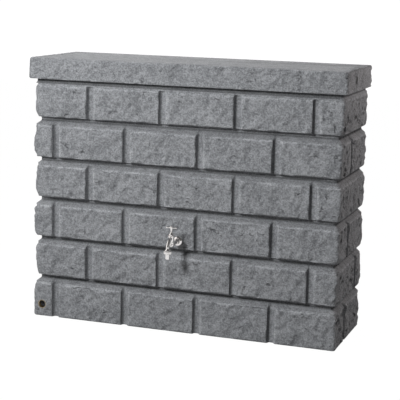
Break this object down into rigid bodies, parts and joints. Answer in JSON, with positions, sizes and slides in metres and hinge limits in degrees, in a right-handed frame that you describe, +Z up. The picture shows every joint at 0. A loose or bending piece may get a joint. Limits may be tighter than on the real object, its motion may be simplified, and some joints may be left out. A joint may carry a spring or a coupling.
{
  "type": "rain barrel",
  "caption": "Free-standing wall-shaped rain water tank with stone-block relief, lift-off coping lid, bib tap with hose tail, and a plugged drain port.",
  "frame": {"origin": "on the ground under the middle of the lid", "axes": "+X along the tank's length, to the right seen from the tap side; -Y out of the front with the tap; +Z up"},
  "size_m": [1.2, 0.498, 0.98],
  "materials": {
    "granite_plastic": "matt, granite-speckled rough stone texture",
    "chrome": "polished chrome plate",
    "brass": "turned brass",
    "stainless": "plain stainless steel",
    "rubber": "black rubber",
    "fibre": "red-brown fibre",
    "plug_plastic": "dark grey plastic"
  },
  "bodies": {
    "tank": {"tank_shell": "granite_plastic", "filler_grommet": "rubber", "lid_screw_inserts": "brass", "tap_insert": "brass", "tap_rosette": "chrome", "tap_seal_washer": "rubber", "tap_body": "chrome", "bonnet_gasket": "fibre", "tap_bonnet": "chrome", "gland_packing": "fibre", "gland_nut": "chrome", "hose_union_nut": "chrome", "hose_tail": "chrome", "hose_tail_washer": "rubber", "drain_insert": "brass"},
    "lid": {"lid_shell": "granite_plastic", "lid_screws": "stainless", "lid_screw_washers": "rubber"},
    "valve": {"jumper_valve": "brass", "valve_washer": "rubber", "washer_nut": "brass"},
    "tap_handle": {"tap_spindle": "chrome", "handle_hub": "chrome", "tee_bar": "chrome", "handle_screw": "chrome"},
    "drain_seal": {"drain_plug_seal": "rubber"},
    "drain_plug": {"drain_plug": "plug_plastic"}
  },
  "joints": [
    {"name": "lid_lift", "type": "slide", "parent": "tank", "child": "lid", "axis": [0, 0, 1], "range_m": [0, 0.15]},
    {"name": "valve_lift", "type": "slide", "parent": "tank", "child": "valve", "axis": [0, 0, 1], "range_m": [0, 0.006]},
    {"name": "tap_handle_turn", "type": "hinge", "parent": "valve", "child": "tap_handle", "pos_m": [-0.007, -0.25, 0.4], "axis": [0, 0, 1], "range_deg": [0, 720]},
    {"name": "drain_plug_out", "type": "slide", "parent": "tank", "child": "drain_seal", "axis": [0, -1, 0], "range_m": [0, 0.02722]},
    {"name": "drain_plug_turn", "type": "hinge", "parent": "drain_seal", "child": "drain_plug", "pos_m": [-0.552, -0.1665, 0.046], "axis": [0, -1, 0], "range_deg": [0, 5400]}
  ],
  "couplings": [
    {"joint": "valve_lift", "follows": "tap_handle_turn", "m_per_rad": 0.00047746},
    {"joint": "drain_plug_out", "follows": "drain_plug_turn", "m_per_rad": 0.00028871}
  ]
}
